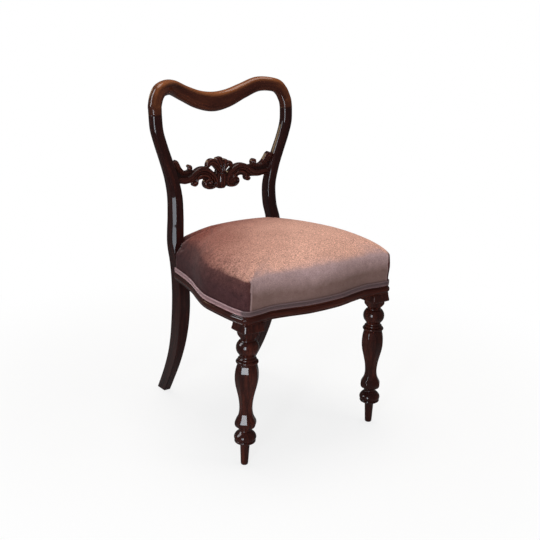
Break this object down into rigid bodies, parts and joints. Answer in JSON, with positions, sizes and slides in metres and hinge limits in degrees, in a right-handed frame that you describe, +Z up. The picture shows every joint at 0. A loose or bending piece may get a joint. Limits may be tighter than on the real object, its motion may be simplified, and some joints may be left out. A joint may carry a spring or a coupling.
{
  "type": "balloon back dining chair",
  "caption": "Wooden dining chair with an open rounded back, a carved cross rail, turned front legs, raked back legs and a fixed stuffed seat with a gimp trim.",
  "frame": {"origin": "on the floor, at the centre of the chair's bounding box in plan", "axes": "+Z up from the floor to the shoulders of the back; -Y towards the front of the seat; +X to the right of someone who looks at the back from the front, along +Y; x = 0 is the plane of symmetry"},
  "size_m": [0.477, 0.556, 0.8807],
  "materials": {
    "polished_mahogany": "French polish, glossy",
    "beech": "planed and unfinished",
    "rose_velvet": "cut pile, mottled",
    "mauve_braid": "woven gimp",
    "jute": "plain weave",
    "curled_hair": "matt",
    "black_cotton": "matt plain weave",
    "tack_steel": "blued",
    "screw_steel": "plain"
  },
  "bodies": {
    "root": {"crest_rail": "polished_mahogany", "left_stile": "polished_mahogany", "right_stile": "polished_mahogany", "mid_rail": "polished_mahogany", "left_front_leg": "polished_mahogany", "right_front_leg": "polished_mahogany", "front_seat_rail": "beech", "left_seat_rail": "beech", "right_seat_rail": "beech", "back_seat_rail": "beech", "front_moulding": "polished_mahogany", "left_moulding": "polished_mahogany", "right_moulding": "polished_mahogany", "crest_dowels": "beech", "front_rail_dowels": "beech", "side_rail_dowels": "beech", "back_rail_dowels": "beech", "left_front_corner_block": "beech", "right_front_corner_block": "beech", "left_back_corner_block": "beech", "right_back_corner_block": "beech", "block_screws": "screw_steel", "lengthwise_webbing": "jute", "crosswise_webbing": "jute", "webbing_tacks": "tack_steel", "hessian": "jute", "hair_stuffing": "curled_hair", "seat_cover": "rose_velvet", "cover_tacks": "tack_steel", "seat_gimp": "mauve_braid", "back_gimp": "mauve_braid", "dust_cloth": "black_cotton", "dust_cloth_tacks": "tack_steel"}
  },
  "joints": []
}
